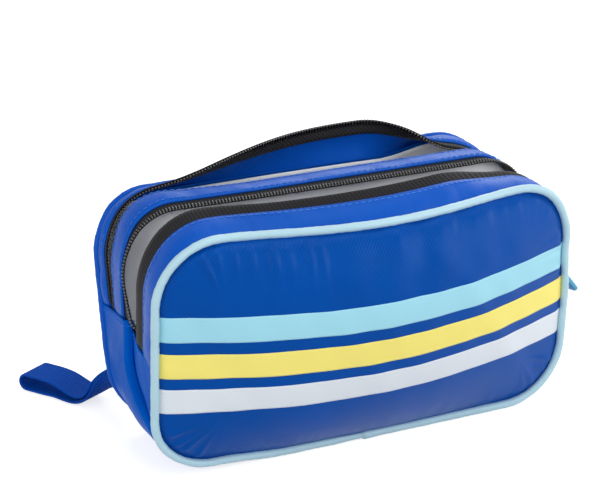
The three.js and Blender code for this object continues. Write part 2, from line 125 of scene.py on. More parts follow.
def settle(points):
    """The soft case as it slumps: rear left edge drawn in, left corners lifted, right edge drawn in."""
    x, y, z = points[..., 0], points[..., 1], points[..., 2]
    low = 1 - step(z, 0, 45)
    near = 1 - step(y, 44, 62)
    pull = (2.6 + 2.2 * low) * step(-x, 60, 104) * step(y, -8, 24) * near * (1 - step(z, 95, 120))
    drawn = 1.8 * step(x, 70, 104) * (1 - step(y, -22, -6)) * step(z, 55, 80) * (1 - step(z, 95, 115))
    rear_lift = 4.2 * step(-x, 66, 96) * step(y, -30, -8) * (1 - 0.5 * step(y, 0, 22)) * near * low
    front_lift = 2.2 * step(-x, 40, 75) * (1 - step(y, -24, -4)) * (1 - step(z, 0, 30))
    corner_lift = 4.5 * step(x, 45, 75) * (1 - step(x, 98, 114)) * step(y, 24, 38) * step(z, 80, 108)
    sag = 0.5 * step(x, -40, 20) * (1 - step(y, -24, -4)) * (1 - step(z, 0, 30))
    return np.stack([x + pull - drawn, y, z + np.maximum(rear_lift, front_lift) + corner_lift - sag], -1)


# Meshes from grids of points in millimetres
def turn_x(points, degrees):
    """The points turned about the X axis."""
    a = math.radians(degrees)
    y = points[..., 1] * math.cos(a) - points[..., 2] * math.sin(a)
    z = points[..., 1] * math.sin(a) + points[..., 2] * math.cos(a)
    return np.stack([points[..., 0], y, z], -1)


def from_cover(form, points):
    """From a cover's own upright frame to its place in the case."""
    placed = turn_x(points, -form["side"] * form["lean"])
    return placed + np.array([0, form["side"] * BASE_DEPTH / 2, HINGE_HEIGHT])


def from_middle(points):
    """From the divider's own upright frame to its place; its left side is pushed back."""
    bent = points + np.array([0, 1.0, 0]) * (LEFT_SHIFT * step(-points[..., 0], 35, 100))[..., None]
    return turn_x(bent, -MID_LEAN) + np.array([0, MID_FOOT, HINGE_HEIGHT])


def mesh_of(name, points, faces, finish):
    """A smooth object from points in millimetres, settled as the case slumps."""
    mesh = bpy.data.meshes.new(name)
    mesh.from_pydata((settle(np.asarray(points)) * MM).tolist(), [], faces)
    mesh.validate()
    mesh.polygons.foreach_set("use_smooth", [True] * len(mesh.polygons))
    mesh.materials.append(finish)
    piece = bpy.data.objects.new(name, mesh)
    bpy.context.scene.collection.objects.link(piece)
    return piece


def outward(points, faces):
    """The faces, turned round if they enclose a negative volume."""
    a, b, c = (points[[f[i] for f in faces]] for i in range(3))
    d = points[[f[3] for f in faces]]
    volume = np.einsum("ij,ij->", a, np.cross(b, c)) + np.einsum("ij,ij->", a, np.cross(c, d))
    return faces if volume > 0 else [tuple(reversed(f)) for f in faces]


def shell(outer, inner):
    """Points and faces of a closed sheet between two grids of the same shape."""
    rows, cols = outer.shape[:2]
    points = np.concatenate([outer.reshape(-1, 3), inner.reshape(-1, 3)])
    index = np.arange(rows * cols).reshape(rows, cols)
    back = index + rows * cols
    faces = []
    for i in range(rows - 1):
        for k in range(cols - 1):
            faces.append((index[i, k], index[i, k + 1], index[i + 1, k + 1], index[i + 1, k]))
            faces.append((back[i, k], back[i + 1, k], back[i + 1, k + 1], back[i, k + 1]))
    edge = [*index[0], *index[1:, -1], *index[-1, -2::-1], *index[-2:0:-1, 0]]
    count = len(edge)
    shift = rows * cols
    for n in range(count):
        a, b = edge[n], edge[(n + 1) % count]
        faces.append((b, a, a + shift, b + shift))
    faces = [tuple(int(v) for v in f) for f in faces]
    return points, outward(points, faces)


def tube(rings, closed):
    """Points and faces through rings of equal counts; open tubes are capped."""
    rings = np.asarray(rings)
    count, sides = rings.shape[:2]
    faces = []
    for i in range(count if closed else count - 1):
        for k in range(sides):
            here, there = i * sides, ((i + 1) % count) * sides
            turn = (k + 1) % sides
            faces.append((here + k, here + turn, there + turn, there + k))
    points = rings.reshape(-1, 3)
    faces = outward(points, faces)
    if not closed:
        first = tuple(range(sides))
        last = tuple((count - 1) * sides + k for k in range(sides))
        if faces[0][0] == 0 and faces[0][1] == 1:
            first = tuple(reversed(first))
        else:
            last = tuple(reversed(last))
        faces = faces + [first, last]
    return points, faces


def many(parts):
    """One list of points and faces from several."""
    points, faces, start = [], [], 0
    for p, f in parts:
        points.append(p)
        faces += [tuple(v + start for v in face) for face in f]
        start += len(p)
    return np.concatenate(points), faces


# Soft irregularity that is the same on each run
def ripple(s, seed, scale):
    """A smooth wandering value from -1 to 1 along s."""
    rng = np.random.default_rng(seed)
    total = np.zeros_like(s, dtype=float)
    for octave in range(4):
        phase = rng.uniform(0, 2 * math.pi)
        rate = (1 + octave * 0.83 + rng.uniform(-0.15, 0.15)) / scale
        total += np.sin(2 * math.pi * s * rate + phase) / (1 + 0.6 * octave)
    return total / 2.2


# The outline that the piping follows, as stations in the X-Z plane
def stations(*runs):
    """x, z, nx, nz and length along the runs, each an array."""
    pieces = np.concatenate([r if i == 0 else r[1:] for i, r in enumerate(runs)])
    steps = np.hypot(np.diff(pieces[:, 0]), np.diff(pieces[:, 1]))
    along = np.concatenate([[0], np.cumsum(steps)])
    return {"x": pieces[:, 0], "z": pieces[:, 1], "nx": pieces[:, 2], "nz": pieces[:, 3], "s": along}


STATION_PITCH = 1.6
BASE_PITCH = 3.0


def run(x0, z0, x1, z1, pitch=STATION_PITCH):
    """Stations on a straight run, with the normal to its left."""
    length = math.hypot(x1 - x0, z1 - z0)
    t = np.linspace(0, 1, max(2, round(length / pitch) + 1))
    nx, nz = -(z1 - z0) / length, (x1 - x0) / length
    return np.stack([x0 + (x1 - x0) * t, z0 + (z1 - z0) * t, nx + 0 * t, nz + 0 * t], 1)


def bend(cx, cz, start, stop):
    """Stations round a corner, between two angles in degrees."""
    count = max(3, round(CORNER_RADIUS * abs(math.radians(stop - start)) / STATION_PITCH) + 1)
    a = np.radians(np.linspace(start, stop, count))
    return np.stack([cx + CORNER_RADIUS * np.cos(a), cz + CORNER_RADIUS * np.sin(a), np.cos(a), np.sin(a)], 1)


HOOP = stations(
    run(-HALF, STRIP_FOOT, -HALF, HIGH_CENTRE),
    bend(-STRAIGHT, HIGH_CENTRE, 180, 90),
    run(-STRAIGHT, PANEL_HEIGHT, STRAIGHT, PANEL_HEIGHT),
    bend(STRAIGHT, HIGH_CENTRE, 90, 0),
    run(HALF, HIGH_CENTRE, HALF, STRIP_FOOT),
)


def cradle(left_top):
    """Stations down the right side, under the base and up the left side."""
    return stations(
        run(HALF, ZIP_END, HALF, CORNER_RADIUS),
        bend(STRAIGHT, CORNER_RADIUS, 0, -90),
        run(STRAIGHT, 0, -STRAIGHT, 0, BASE_PITCH),
        bend(-STRAIGHT, CORNER_RADIUS, -90, -180),
        run(-HALF, CORNER_RADIUS, -HALF, left_top),
    )


CRADLE = cradle(ZIP_END)
WALL = cradle(WALL_TOP)
LOOP = stations(
    bend(-STRAIGHT, HIGH_CENTRE, 180, 90),
    run(-STRAIGHT, PANEL_HEIGHT, STRAIGHT, PANEL_HEIGHT),
    bend(STRAIGHT, HIGH_CENTRE, 90, 0),
    run(HALF, HIGH_CENTRE, HALF, CORNER_RADIUS),
    bend(STRAIGHT, CORNER_RADIUS, 0, -90),
    run(STRAIGHT, 0, PIPING_JOINT + JOINT_HALF, 0),
    run(PIPING_JOINT + JOINT_HALF, 0, PIPING_JOINT - JOINT_HALF, 0),
    run(PIPING_JOINT - JOINT_HALF, 0, -STRAIGHT, 0),
    bend(-STRAIGHT, CORNER_RADIUS, -90, -180),
    run(-HALF, CORNER_RADIUS, -HALF, HIGH_CENTRE)[:-1],
)


def half_at(z):
    """Half the outline's width at a height."""
    past = np.maximum(np.maximum(CORNER_RADIUS - z, z - HIGH_CENTRE), 0)
    return STRAIGHT + np.sqrt(np.maximum(0, CORNER_RADIUS**2 - past**2))


def swell(form, x, z):
    """How far a cover's smooth swell stands out of its seam's plane."""
    across = np.maximum(0, 1 - (x / half_at(z)) ** 2)
    up = np.clip(z / PANEL_HEIGHT, 0, 1)
    dome = 1 - np.abs(2 * up - 1) ** DOME
    return across**1.6 * form["bow"] * up + across * (form["belly"] - form["bow"] / 2) * dome


def edge_distance(x, z):
    """How far inside the piping line a place of the panel is."""
    qx = np.abs(x) - STRAIGHT
    qz = np.abs(z - PANEL_HEIGHT / 2) - (PANEL_HEIGHT / 2 - CORNER_RADIUS)
    outside = np.hypot(np.maximum(qx, 0), np.maximum(qz, 0))
    return CORNER_RADIUS - outside - np.minimum(np.maximum(qx, qz), 0)


# Materials
def srgb(*values):
    """A colour as it is seen, 0 to 255, to the linear values of the shader."""
    parts = [v / 255 for v in values]
    return tuple(v / 12.92 if v <= 0.04045 else ((v + 0.055) / 1.055) ** 2.4 for v in parts)


def material(name, color, roughness, metallic=0.0, sheen=0.0, specular=0.5, tint=(1, 1, 1)):
    made = bpy.data.materials.new(name)
    made.use_nodes = True
    shader = made.node_tree.nodes["Principled BSDF"]
    shader.inputs["Base Color"].default_value = (*color, 1)
    shader.inputs["Roughness"].default_value = roughness
    shader.inputs["Metallic"].default_value = metallic
    shader.inputs["Sheen Weight"].default_value = sheen
    shader.inputs["Specular IOR Level"].default_value = specular
    shader.inputs["Specular Tint"].default_value = (*tint, 1)
    return made


def node(made, kind, **values):
    """A new shader node with its settings and its inputs' values."""
    n = made.node_tree.nodes.new(kind)
    for key, value in values.items():
        if hasattr(n, key):
            setattr(n, key, value)
        else:
            n.inputs[key.replace("_", " ").title()].default_value = value
    return n


def link(made, a, a_out, b, b_in):
    made.node_tree.links.new(a.outputs[a_out], b.inputs[b_in])


def weave(made, color, turn, scale, depth, mottle=0.12, lines=0.14):
    """Twill lines as bump and a faint change of colour, and a slow mottle of the colour."""
    mix_a, mix_b, mix_out = 6, 7, 2
    shader = made.node_tree.nodes["Principled BSDF"]
    place = node(made, "ShaderNodeTexCoord")
    mapping = node(made, "ShaderNodeMapping")
    mapping.inputs["Rotation"].default_value = turn
    link(made, place, "Object", mapping, "Vector")
    wave = node(made, "ShaderNodeTexWave", scale=scale, distortion=0.5)
    wave.inputs["Detail"].default_value = 1.0
    link(made, mapping, "Vector", wave, "Vector")
    noise = node(made, "ShaderNodeTexNoise", scale=38.0, detail=4.0)
    link(made, place, "Object", noise, "Vector")
    shade = node(made, "ShaderNodeMix", data_type="RGBA")
    dark = [c * (1 - mottle) for c in color]
    light = [min(1, c * (1 + mottle)) for c in color]
    shade.inputs[mix_a].default_value = (*dark, 1)
    shade.inputs[mix_b].default_value = (*light, 1)
    link(made, noise, "Fac", shade, "Factor")
    twill = node(made, "ShaderNodeMix", data_type="RGBA", blend_type="MULTIPLY")
    twill.inputs["Factor"].default_value = lines
    link(made, shade, mix_out, twill, mix_a)
    link(made, wave, "Color", twill, mix_b)
    link(made, twill, mix_out, shader, "Base Color")
    bump = node(made, "ShaderNodeBump", strength=0.5, distance=depth)
    link(made, wave, "Fac", bump, "Height")
    link(made, bump, "Normal", shader, "Normal")
    return made


def woven(name, color, roughness, turn, scale, depth, mottle=0.12, lines=0.14, **shine):
    """A material with its weave; shine is what else the shader is given."""
    return weave(material(name, color, roughness, **shine), color, turn, scale, depth, mottle, lines)


LEVEL = (0, 0, 0)
DIAGONAL = (0.0, math.radians(-42), 0.0)
SIDE_DIAGONAL = (0.0, math.radians(-90), math.radians(45))
TOP_DIAGONAL = (0.0, math.radians(-40), math.radians(35))
TWILL = 250
GLOSS = (0.3, 0.62, 1.0)
PRINT = {"turn": DIAGONAL, "scale": TWILL, "depth": 0.00003, "mottle": 0.03, "lines": 0.04, "specular": 0.25}
blue_nylon = woven("blue_nylon", srgb(0, 73, 162), 0.36, DIAGONAL, TWILL, 0.00009, specular=0.15, tint=GLOSS)
# The side walls and gores are the panel's fabric; this lighter copy of its blue paints in the light that
# falls on them from the left.
lit_blue_wall = woven(
    "lit_blue_wall", srgb(0, 91, 196), 0.4, SIDE_DIAGONAL, TWILL, 0.00009, specular=0.03, tint=GLOSS,
)
blue_strip = woven(
    "blue_strip", srgb(0, 80, 186), 0.45, TOP_DIAGONAL, TWILL, 0.00007, specular=0.35, tint=GLOSS,
)
pale_cord = woven("pale_cord", srgb(178, 215, 229), 0.4, (0.6, 0.6, 0.6), 420, 0.00006, 0.08, sheen=0.1)
sky_print = woven("sky_print", srgb(158, 216, 234), 0.5, **PRINT)
yellow_print = woven("yellow_print", srgb(246, 231, 122), 0.5, **PRINT)
white_print = woven("white_print", srgb(222, 229, 237), 0.5, **PRINT)
black_tape = woven(
    "black_tape", srgb(22, 22, 28), 0.75, (0.4, 0.7, 0.6), 240, 0.0004,
    mottle=0.3, lines=0.75, sheen=0.05, specular=0.25,
)
black_coil = woven("black_coil", srgb(22, 22, 22), 0.16, LEVEL, 600, 0.00002, 0.2, specular=1.0)
silver_lining = woven("silver_lining", srgb(232, 234, 238), 0.4, (0, 0.4, 0), 420, 0.00006, 0.1, 0.1)
grey_foam = woven("grey_foam", srgb(212, 212, 208), 0.9, LEVEL, 500, 0.0001, 0.1)
black_metal = woven("black_metal", srgb(38, 38, 40), 0.32, LEVEL, 900, 0.00001, 0.2, metallic=0.7)
pale_rubber = woven("pale_rubber", srgb(84, 166, 196), 0.48, LEVEL, 700, 0.00002, 0.1)
blue_webbing = woven(
    "blue_webbing", srgb(2, 70, 168), 0.7, (0, 0, 1.1), 520, 0.0002, 0.18, specular=0.2, tint=GLOSS,
)
blue_thread = woven("blue_thread", srgb(52, 124, 222), 0.6, (0.5, 0.5, 0), 1500, 0.00004, 0.15)


def dress(piece, body, slot, *nodes):
    """Let a piece stand for its nodes, on their body; the slot is not used."""
    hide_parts(*nodes)
    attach(piece, body)
    return piece


# Panels: the seam pulls the cloth into pleats that fade into the panel
def pleats_of(seed, zones):
    """Pleats along the seam: place, width, length and height. Zones add deeper ones between two places."""
    rng = np.random.default_rng(seed)
    total = LOOP["s"][-1]
    found = []
    place = 0.0
    while place < total:
        found.append((place, rng.uniform(1.8, 3.6), rng.uniform(5, 11), rng.uniform(-0.22, 0.34)))
        place += rng.uniform(5, 10)
    for start, stop, count, length, height in zones:
        for n in range(count):
            spot = start + (stop - start) * (n + rng.uniform(0.25, 0.75)) / count
            width = rng.uniform(1.8, 2.6)
            found.append((spot, width, length * rng.uniform(0.7, 1.2), height * rng.uniform(0.6, 1.2)))
    return np.array(found)


def loop_place(x, z):
    """Where along the seam the nearest place of the piping line is."""
    flat_x, flat_z = np.ravel(x), np.ravel(z)
    nearest = np.empty(flat_x.shape, int)
    for part in np.array_split(np.arange(flat_x.size), max(1, flat_x.size // 2000)):
        gap = (flat_x[part, None] - LOOP["x"]) ** 2 + (flat_z[part, None] - LOOP["z"]) ** 2
        nearest[part] = gap.argmin(1)
    before = np.maximum(nearest - 1, 0)
    after = np.minimum(nearest + 1, len(LOOP["s"]) - 1)
    tx, tz = LOOP["x"][after] - LOOP["x"][before], LOOP["z"][after] - LOOP["z"][before]
    along = ((flat_x - LOOP["x"][nearest]) * tx + (flat_z - LOOP["z"][nearest]) * tz) / np.hypot(tx, tz)
    return (LOOP["s"][nearest] + np.clip(along, -1, 1)).reshape(np.shape(x))


def loop_at(x, z):
    """Where along the seam one place is."""
    return float(loop_place(np.array([x]), np.array([z]))[0])


# Zones of deeper pleats: from, to, count, length, height
FRONT_PLEATS = pleats_of(5, [
    (loop_at(-88, 104), loop_at(-28, 111), 8, 13, 2.2),
    (loop_at(0, 111), loop_at(88, 108), 9, 7, 0.55),
    (loop_at(105, 88), loop_at(105, 66), 4, 11, 1.2),
    (loop_at(104, 22), loop_at(84, 2), 4, 12, 1.1),
    (loop_at(-84, 2), loop_at(-104, 24), 4, 12, 1.3),
])
REAR_PLEATS = pleats_of(6, [(loop_at(-60, 111), loop_at(60, 111), 8, 12, 0.6)])


def gather(form, x, z):
    """How far the cloth stands out of its smooth swell."""
    inside = np.maximum(edge_distance(x, z) - PIPING_INSET, 0)
    place = loop_place(x, z)
    stand = np.zeros_like(x)
    for spot, width, length, height in FRONT_PLEATS if form is FRONT else REAR_PLEATS:
        stand += height * np.exp(-(((place - spot) / width) ** 2)) * np.exp(-((inside / length) ** 2))
    broad = ripple(x + 0.7 * z, 7 if form is FRONT else 8, 64.0) * 0.5 * np.minimum(1, inside / 12)
    seam = -1.2 * np.exp(-inside / 1.6)
    if form is FRONT:
        slow = np.exp(-np.maximum(PANEL_HEIGHT - z, 0) / 30) * np.exp(-(((x - 22) / 40) ** 2))
        broad += 0.8 * slow * np.sin(2 * math.pi * (x + 0.25 * (PANEL_HEIGHT - z)) / 23)
    return stand * np.minimum(1, inside / 2.0) + broad + seam


def panel_surface(form, x, z, depth, cloth=1.0):
    """Points of a cover's panel at a depth under its face; cloth is the share of the pleats."""
    y = form["side"] * (swell(form, x, z) + cloth * gather(form, x, z) - depth)
    return from_cover(form, np.stack([x, y, z], -1))


def panel_grid(columns, rows, inset=1.4):
    """x and z of a grid that fills the outline, with closer rows at the top and the bottom."""
    eased, even = 0.35, 0.65
    round_radius = CORNER_RADIUS - inset
    tall = PANEL_HEIGHT - 2 * inset
    t = np.linspace(0, 1, rows)
    z = inset + tall * (0.5 - 0.5 * np.cos(math.pi * t)) * eased
    z = z + tall * t * even
    z = inset + (z - z[0]) / (z[-1] - z[0]) * tall
    past = np.maximum(np.maximum(CORNER_RADIUS - z, z - HIGH_CENTRE), 0)
    half = STRAIGHT + np.sqrt(np.maximum(0, round_radius**2 - np.minimum(past, round_radius) ** 2))
    u = np.linspace(-1, 1, columns)
    return half[:, None] * u[None, :], np.repeat(z[:, None], columns, 1)


def panels(form, prefix, body):
    """A cover's padded panel and its lining."""
    x, z = panel_grid(260, 150)
    padding = shell(panel_surface(form, x, z, 0.0), panel_surface(form, x, z, FOAM_END, 0.0))
    pad = mesh_of(prefix + "_padded_panel", *padding, blue_nylon)
    dress(pad, body, "blue_nylon", prefix + "_panel", prefix + "_foam")
    x, z = panel_grid(60, 34, PIPING_INSET)
    share = 0.35
    outer = panel_surface(form, x, z, LINING_DEPTH, share)
    inner = panel_surface(form, x, z, LINING_DEPTH + LINING, share)
    lining = mesh_of(prefix + "_inner_lining", *shell(outer, inner), silver_lining)
    dress(lining, body, "silver_lining", prefix + "_lining")


panels(FRONT, "front", "front_cover")
panels(REAR, "rear", "rear_cover")


def stripe(name, finish, slot):
    """A printed stripe, just proud of the front panel's cloth."""
    foot = STRIPE_FEET[name]
    z, u = np.meshgrid(np.linspace(foot, foot + STRIPE_HEIGHT, 17), np.linspace(-1, 1, 260), indexing="ij")
    x = u * (half_at(z) - STRIPE_INSET)
    z = z + STRIPE_TILT * x
    ink = shell(panel_surface(FRONT, x, z, -0.2), panel_surface(FRONT, x, z, -0.03))
    piece = mesh_of(name + "_stripe_print", *ink, finish)
    dress(piece, "front_cover", slot, "stripe_" + name)


stripe("white", white_print, "white_print")
stripe("yellow", yellow_print, "yellow_print")
stripe("light_blue", sky_print, "sky_print")


# Piping: a cord in a bias-cut cover, puckered by its seam
def piping(form, prefix, body, finish, slot):
    """A cover's piping, with one end laid over the other at the joint under the base."""
    s = LOOP
    sides = 14
    pucker = 4.2
    centre_y = form["side"] * swell(form, s["x"], s["z"])
    before = loop_at(PIPING_JOINT, 0) - s["s"]
    wander_end = np.where(before > 0, 0.32 * (1 - step(before, 4, 12)), -0.42 * (1 - step(-before, 3, 14)))
    wander = ripple(s["s"], 21, 17.0) * 0.1
    angles = np.linspace(0, 2 * math.pi, sides, endpoint=False)
    twist = np.sin(2 * math.pi * (s["s"][:, None] / pucker) + angles[None, :]) * 0.05
    radius = form["cord"] + (wander + wander_end)[:, None] + twist
    out = radius * np.cos(angles)[None, :]
    rings = np.stack([
        s["x"][:, None] + out * s["nx"][:, None],
        centre_y[:, None] + radius * np.sin(angles)[None, :],
        s["z"][:, None] + out * s["nz"][:, None],
    ], -1)
    piece = mesh_of(prefix + "_piping_cord", *tube(from_cover(form, rings), True), finish)
    return dress(piece, body, slot, prefix + "_piping")


piping(FRONT, "front", "front_cover", pale_cord, "pale_cord")
piping(REAR, "rear", "rear_cover", blue_strip, "blue_strip")


# Bands along the zips
def proud(s, height):
    """How far the cloth stands out of the outline: at the sides, and by the height above or below."""
    return SIDE_PROUD * s["nx"] ** 2 + height * s["nz"] ** 2


def lip_angle(form, s):
    """How steeply the lip stands up along the stations."""
    off = s["x"] - form["peak"]
    fall = np.where(off < 0, form["fall_left"], form["fall_right"])
    bulge = np.exp(-((off / fall) ** 2))
    return np.radians(form["lip_end"] + (form["lip_peak"] - form["lip_end"]) * bulge) * s["nz"] ** 2


def tucked(form, s, distance):
    """How far the feet of the bands go in behind the side walls."""
    top = np.where(s["x"] < 0, form["foot_left"], form["foot_right"])[:, None] + form["foot_slope"] * distance
    return form["foot_depth"] * (1 - step(s["z"][:, None], top - TUCK_RUN, top))


def leftness(s):
    """1 on the left side of the case, 0 from the middle on; a column for the stations."""
    return step(-s["x"], 40, 100)[:, None]


def rightness(s):
    """1 on the right side below the corner, where the sliders run."""
    return step(s["x"], 72, 104)[:, None]


def on_cover(form, s, distance, lift):
    """Points on a cover's zip lip, at a distance from the panel along the cloth; the last axis is x, y, z."""
    distance, lift = np.broadcast_arrays(np.asarray(distance, float), np.asarray(lift, float))
    lip = lip_angle(form, s)[:, None]
    lift = lift - tucked(form, s, distance)
    ease = np.clip((distance - PIPING_INSET) / (form["strip"] - PIPING_INSET), -0.3, 1)
    past = distance - PIPING_INSET
    rise = proud(s, SEAM_RISE)[:, None] * ease + past * np.sin(lip) + lift * np.cos(lip)
    back = PIPING_INSET + past * np.cos(lip) - lift * np.sin(lip)
    y = form["side"] * (swell(form, s["x"], s["z"])[:, None] - back)
    x = s["x"][:, None] + rise * s["nx"][:, None]
    z = s["z"][:, None] + rise * s["nz"][:, None]
    return from_cover(form, np.stack([x, y, z], -1))


def on_middle(_form, s, offset, lift):
    """Points on the divider's band, at an offset across it; its front edge hangs, except at the sliders."""
    free = (1 - rightness(s)) * s["nz"][:, None] ** 2
    past = np.maximum(np.abs(offset) - MID_STRIP / 2, 0)
    hang = free * (0.2 * offset - 0.45 * past)
    rise = proud(s, CROWN)[:, None] + lift + hang - tucked(MIDDLE, s, 0.0)
    x = s["x"][:, None] + rise * s["nx"][:, None]
    z = s["z"][:, None] + rise * s["nz"][:, None]
    return from_middle(np.stack([x, offset + 0 * x, z], -1))


def strip_sheet(place, form, s, across, bulge, seed, thickness=FABRIC):
    """A closed strip of cloth over the stations, crowned by bulge and slightly wavy."""
    t = np.linspace(0, 1, across.shape[1])[None, :]
    wave = ripple(s["s"], seed, 46.0)[:, None] * 0.5 + ripple(s["s"], seed + 1, 15.0)[:, None] * 0.18
    lift = (bulge + wave) * np.sin(math.pi * t)
    return shell(place(form, s, across, lift), place(form, s, across, lift - thickness))


def lengths_along(line):
    """The length along a line of points, at each of them."""
    return np.concatenate([[0], np.cumsum(np.linalg.norm(np.diff(line, axis=0), axis=1))])


def values_at(places, along, values):
    """The three values of each place along a line."""
    return np.stack([np.interp(places, along, values[:, i]) for i in range(3)], 1)


def unit(vectors):
    return vectors / np.linalg.norm(vectors, axis=1)[:, None]


def stitches(place, form, s, offset, lift):
    """Separate thread stitches in a row along the stations."""
    line = place(form, s, offset, lift + 0 * offset)[:, 0]
    above = place(form, s, offset, lift + 1.0 + 0 * offset)[:, 0]
    return thread(line, above - line, LIP_PITCH, LIP_STITCH)


def stitch(place, forward, up, wide, length):
    """One stitch, bowed up and thinner at its ends."""
    shape = [(-0.5, 0.35), (-0.36, 0.85), (0.0, 1.0), (0.36, 0.85), (0.5, 0.35)]
    turns = np.linspace(0, 2 * math.pi, 6, endpoint=False)
    flat, bow = 0.8, 0.12
    rings = []
    for a, r in shape:
        centre = place + forward * length * a
        rise = up * bow * (1 - (2 * a) ** 2)
        across = [math.cos(t) * up * flat + math.sin(t) * wide for t in turns]
        rings.append([centre + r * THREAD_RADIUS * way + rise for way in across])
    return tube(rings, False)


def thread(line, normals, pitch, length):
    """Stitches along a line, raised along its normals."""
    along = lengths_along(line)
    places = np.arange(pitch / 2, along[-1] - pitch / 2, pitch)
    spot = values_at(places, along, line)
    forward = unit(values_at(places + 0.5, along, line) - spot)
    up = unit(values_at(places, along, normals))
    wide = np.cross(forward, up)
    return many([stitch(p, f, u, w, length) for p, f, u, w in zip(spot, forward, up, wide)])


def teeth(place, form, s, start, stop, low, high):
    """The separate turns of a zip coil along the stations."""
    middle = (low + high) / 2
    line = place(form, s, start, middle + 0 * start)[:, 0]
    far = place(form, s, stop, middle + 0 * stop)[:, 0]
    over = place(form, s, start, middle + 1.0 + 0 * start)[:, 0]
    along = lengths_along(line)
    places = np.arange(COIL_PITCH / 2, along[-1], COIL_PITCH)
    root = values_at(places, along, line)
    up = unit(values_at(places, along, over) - root)
    across = values_at(places, along, far) - root
    reach = np.linalg.norm(across, axis=1)[:, None]
    across /= reach
    forward = np.cross(up, across)
    half = (high - low) / 2
    shape = [(0.0, 0.55, 0.55), (0.25, 0.9, 0.8), (0.7, 1.0, 0.85), (0.92, 0.8, 1.0), (1.0, 0.35, 0.6)]
    turns = np.linspace(0, 2 * math.pi, 6, endpoint=False)
    parts = []
    for p, f, u, a, r in zip(root, forward, up, across, reach):
        rings = []
        for t, tall, wide in shape:
            centre = p + a * r * t
            over_way, along_way = u * half * tall, f * TOOTH_HALF * wide
            rings.append([centre + over_way * math.sin(q) + along_way * math.cos(q) for q in turns])
        parts.append(tube(rings, False))
    return many(parts)


def tape_sheet(place, form, across):
    """A zip tape along the hoop; its sewn edge goes in under the strip."""
    tuck = TAPE_TUCK + 0 * across
    return shell(place(form, HOOP, across, tuck), place(form, HOOP, across, tuck - TAPE_THICK))


def sew(name, row, body):
    """Stitches that ride a body."""
    sewn = mesh_of(name, *row, blue_thread)
    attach(sewn, body)


def cover_zip(form, prefix, body, seed):
    """Strip, tape, teeth and stitches of a cover's zip lip; the teeth are on the inner face of the tape."""
    edge = form["strip"] + form["lap"] * leftness(HOOP)
    t = np.linspace(0, 1, 12)[None, :]
    strip = strip_sheet(on_cover, form, HOOP, 0.6 + (edge - 0.4) * t, 0.9, seed)
    sewn_strip = mesh_of(prefix + "_lip_strip", *strip, blue_strip)
    dress(sewn_strip, body, "blue_strip", prefix + "_gusset")
    low = (1 - step(HOOP["z"], 58, 84))[:, None]
    shown = TAPE_SHOWN + form["more_tape"] * leftness(HOOP) - 1.6 * rightness(HOOP)
    shown = shown + form["meet"] * rightness(HOOP) * low
    foot = (leftness(HOOP) + rightness(HOOP)) * low
    hidden = 1.5 + form["spare"] * foot
    across = edge - hidden + (shown + hidden) * np.linspace(0, 1, 6)[None, :]
    taped = mesh_of(prefix + "_outer_tape", *tape_sheet(on_cover, form, across), black_tape)
    tip = edge + shown + 0.5
    coil = teeth(on_cover, form, HOOP, tip - 2.6, tip, *COIL_UNDER)
    coiled = mesh_of(prefix + "_outer_teeth", *coil, black_coil)
    halves = ((taped, "black_tape", "_zip_tape_outer"), (coiled, "black_coil", "_zip_coil_outer"))
    for piece, slot, cad in halves:
        if form is FRONT:
            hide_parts(prefix + cad)
            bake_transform(piece)
        else:
            dress(piece, body, slot, prefix + cad)
    sew(prefix + "_lip_stitches", stitches(on_cover, form, HOOP, edge - 1.3, 0.36), body)


cover_zip(FRONT, "front", "front_cover", 31)
cover_zip(REAR, "rear", "rear_cover", 41)


def middle_zips():
    """The strip over the divider, and the halves of both zips that are sewn to it."""
    half = MID_STRIP / 2 + 1.8 * leftness(HOOP)
    strip = strip_sheet(on_middle, None, HOOP, half * np.linspace(-1, 1, 9)[None, :], 0.7, 51)
    sewn_strip = mesh_of("mid_lip_strip", *strip, blue_strip)
    dress(sewn_strip, "core", "blue_strip", "mid_gusset")
    foot = leftness(HOOP) * (1 - step(HOOP["z"], 60, 84))[:, None]
    front_shown = 4.4 + 10.0 * foot
    rear_shown = 4.4 - 1.8 * leftness(HOOP)
    zips = (("front", -1, front_shown, COIL_OVER), ("rear", 1, rear_shown, COIL_UNDER))
    for prefix, way, shown, coil in zips:
        across = way * (half - 1.4 + (shown + 1.4) * np.linspace(0, 1, 6)[None, :])
        taped = mesh_of(prefix + "_inner_tape", *tape_sheet(on_middle, None, across), black_tape)
        dress(taped, "core", "black_tape", prefix + "_zip_tape_inner")
        tip = half + shown + 0.3
        turns = teeth(on_middle, None, HOOP, way * (tip - 2.0), way * tip, *coil)
        coiled = mesh_of(prefix + "_inner_teeth", *turns, black_coil)
        dress(coiled, "core", "black_coil", prefix + "_zip_coil_inner")
        sew(prefix + "_mid_stitches", stitches(on_middle, None, HOOP, way * (half - 1.5), 0.4), "core")


middle_zips()


# Base: one cloth under the case and up both sides, its front edge folded in at the crease
UP = np.array([0, 0, 1.0])
BASE_INSET = 6
BASE_FLARE = math.tan(math.radians(9.5))


def crease(z):
    """Where the side wall folds in, ahead of the middle; the front gore comes out from under the fold."""
    return -24.1 + 1.6 * step(z, 3, 12) + 27.5 * step(z, 17, 45)


def on_base(s, y, inward):
    """Points on the base cloth, at a place y across it and a distance inward from its face."""
    out = proud(s, HINGE_HEIGHT - GROUND_GAP)[:, None] - inward
    x = s["x"][:, None] + out * s["nx"][:, None]
    z = HINGE_HEIGHT + s["z"][:, None] + out * s["nz"][:, None]
    return np.stack([x, y, z], -1)


